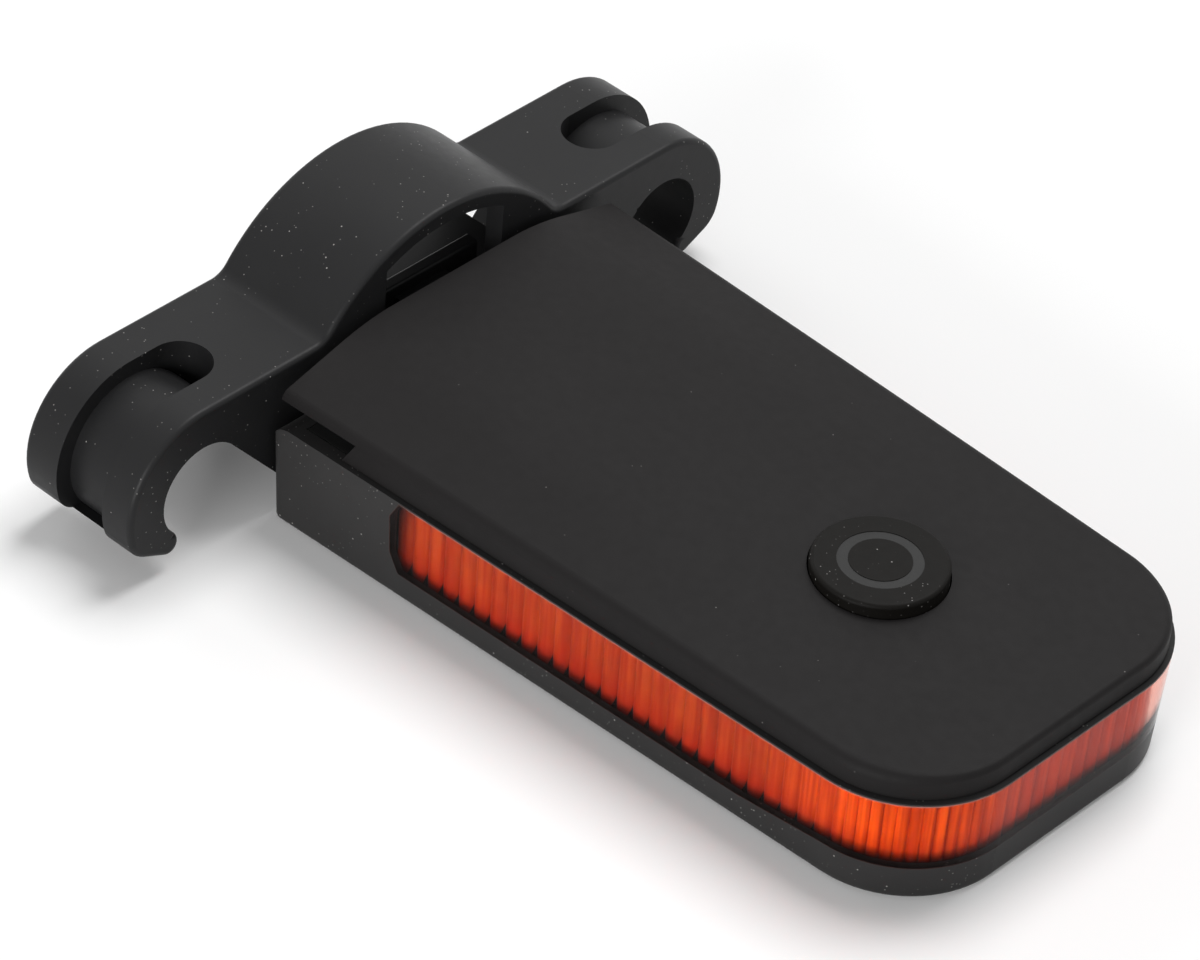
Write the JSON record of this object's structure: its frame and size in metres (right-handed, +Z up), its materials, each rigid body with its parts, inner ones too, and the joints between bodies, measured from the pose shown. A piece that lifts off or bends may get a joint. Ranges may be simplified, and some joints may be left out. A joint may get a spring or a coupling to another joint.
{
  "type": "bicycle tail light",
  "caption": "Flat bicycle tail light: black cover with push button, smoked lens over a ribbed red light band, and a clip-on bracket that hooks under the saddle rails",
  "frame": {"origin": "centre of the bounding box at its bottom, the flat underside of the lens shell", "axes": "+X along the light from the bracket to the rounded nose, +Y to the side, +Z up through the button"},
  "size_m": [0.0668, 0.057, 0.0179],
  "materials": {
    "cover_black": "fine matte black moulding",
    "smoke_lens": "smoked translucent shell with a satin gloss",
    "red_band": "translucent red-orange moulding",
    "bracket_black": "matte black filled nylon",
    "black_rubber": "soft matte black",
    "ring_grey": "milky grey light guide",
    "inner_black": "plain black moulding",
    "foam_pad": "closed-cell foam",
    "cell_foil": "crinkled pouch foil",
    "lead_red": "sleeved wire",
    "connector_white": "natural nylon",
    "board_lacquer": "green solder mask on glass board",
    "screw_steel": "bright zinc",
    "led_package": "white package with a clear cup",
    "chip_black": "moulded epoxy",
    "capacitor_tan": "fired ceramic",
    "inductor_grey": "pressed ferrite",
    "socket_steel": "plated steel"
  },
  "bodies": {
    "light": {"top_cover": "cover_black", "lens_shell": "smoke_lens", "cover_seal": "black_rubber", "ribbed_diffuser": "red_band", "battery_tray": "inner_black", "battery_pad": "foam_pad", "battery_cell": "cell_foil", "battery_leads": "lead_red", "battery_connector": "connector_white", "main_board": "board_lacquer", "chassis_plate": "inner_black", "board_screws": "screw_steel", "side_leds": "led_package", "nose_leds": "led_package", "controller_chip": "chip_black", "charger_chip": "chip_black", "motion_sensor": "chip_black", "board_capacitors": "capacitor_tan", "power_inductor": "inductor_grey", "usb_socket": "socket_steel", "switch_body": "chip_black", "ring_leds": "led_package"},
    "bracket": {"rail_bracket": "bracket_black"},
    "latch": {"release_latch": "bracket_black"},
    "button": {"button_cap": "black_rubber", "button_ring": "ring_grey", "button_plunger": "connector_white", "switch_plunger": "connector_white"}
  },
  "joints": [
    {"name": "button_press", "type": "slide", "parent": "light", "child": "button", "axis": [0, 0, -1], "range_m": [0, 0.0004], "stiffness_N_per_m": 4000},
    {"name": "bracket_slide", "type": "slide", "parent": "light", "child": "bracket", "axis": [-1, 0, 0], "range_m": [0, 0.014]},
    {"name": "latch_press", "type": "hinge", "parent": "bracket", "child": "latch", "pos_m": [-0.01367, 0, 0.00972], "axis": [0, -1, 0], "range_deg": [0, 3.6], "stiffness_Nm_per_rad": 2}
  ]
}
